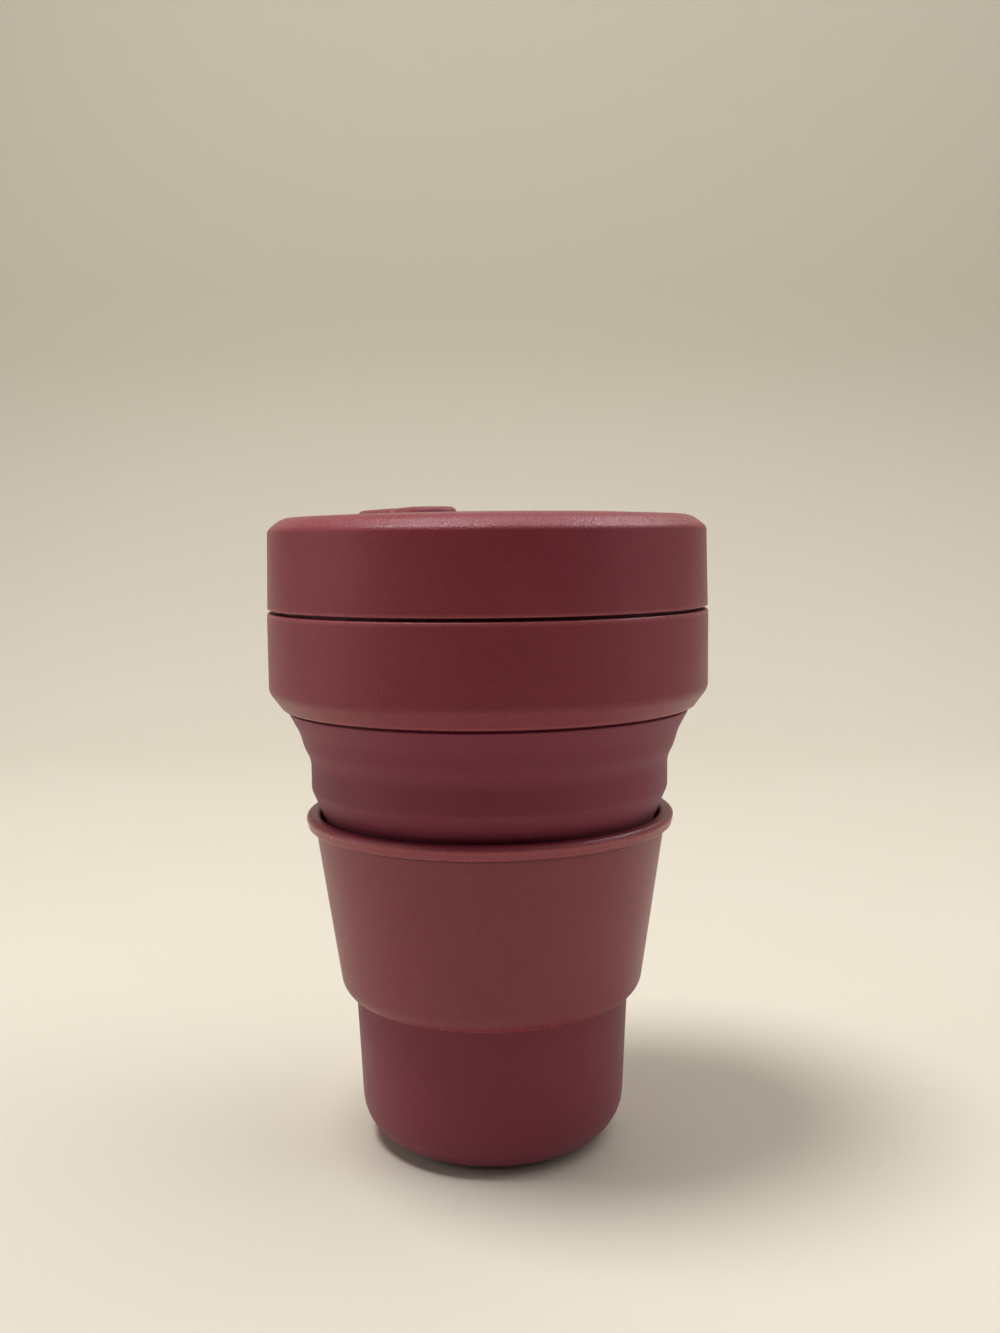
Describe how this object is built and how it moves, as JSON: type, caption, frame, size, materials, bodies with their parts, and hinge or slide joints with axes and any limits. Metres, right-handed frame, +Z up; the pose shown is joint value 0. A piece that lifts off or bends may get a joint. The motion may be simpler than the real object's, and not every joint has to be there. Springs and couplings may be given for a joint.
{
  "type": "collapsible travel cup",
  "caption": "Folding silicone cup in a rigid threaded collar, with a slip-on heat sleeve, a screw lid and a hinged sip-hole stopper; it collapses into its collar.",
  "frame": {"origin": "centre of the foot, on the surface the cup stands on", "axes": "+Z up along the cup's axis, from the foot to the lid; -Y towards the viewer who sees the stopper at the left of the lid"},
  "size_m": [0.0966, 0.0966, 0.1407],
  "materials": {
    "silicone": "soft matte moulded silicone, burgundy",
    "hard_plastic": "fine-grained satin polypropylene, burgundy",
    "sleeve_plastic": "smooth satin polypropylene, burgundy",
    "seal_silicone": "matte silicone, burgundy",
    "stopper_silicone": "matte silicone, burgundy"
  },
  "bodies": {
    "cup_collar": {"collar": "hard_plastic", "silicone_rim": "silicone", "upper_fold": "silicone"},
    "cup_upper": {"upper_tier": "silicone", "middle_fold": "silicone"},
    "cup_middle": {"middle_tier": "silicone", "lower_fold": "silicone"},
    "cup_base": {"base_tier": "silicone"},
    "heat_sleeve": {"sleeve": "sleeve_plastic"},
    "seal_ring": {"lid_seal": "seal_silicone"},
    "screw_lid": {"lid": "hard_plastic", "stopper_anchor": "stopper_silicone"},
    "stopper": {"stopper_flap": "stopper_silicone"}
  },
  "joints": [
    {"name": "upper_fold_slide", "type": "slide", "parent": "cup_collar", "child": "cup_upper", "axis": [0, 0, 1], "range_m": [0, 0.023], "deforming": ["upper_fold"]},
    {"name": "middle_fold_slide", "type": "slide", "parent": "cup_upper", "child": "cup_middle", "axis": [0, 0, 1], "range_m": [0, 0.027], "deforming": ["middle_fold"]},
    {"name": "lower_fold_slide", "type": "slide", "parent": "cup_middle", "child": "cup_base", "axis": [0, 0, 1], "range_m": [0, 0.022], "deforming": ["lower_fold"]},
    {"name": "sleeve_slide", "type": "slide", "parent": "cup_collar", "child": "heat_sleeve", "axis": [0, 0, 1], "range_m": [-0.0328, 0]},
    {"name": "lid_lift", "type": "slide", "parent": "cup_collar", "child": "seal_ring", "axis": [0, 0, 1], "range_m": [0, 0.016]},
    {"name": "lid_turn", "type": "hinge", "parent": "seal_ring", "child": "screw_lid", "pos_m": [0, 0, 0.13], "axis": [0, 0, 1], "range_deg": [0, 720]},
    {"name": "stopper_flip", "type": "hinge", "parent": "screw_lid", "child": "stopper", "pos_m": [-0.0151, 0.00089, 0.1394], "axis": [0.9521, 0.3057, 0], "range_deg": [0, 130]}
  ],
  "couplings": [
    {"joint": "lid_lift", "follows": "lid_turn", "m_per_rad": 0.001273}
  ]
}
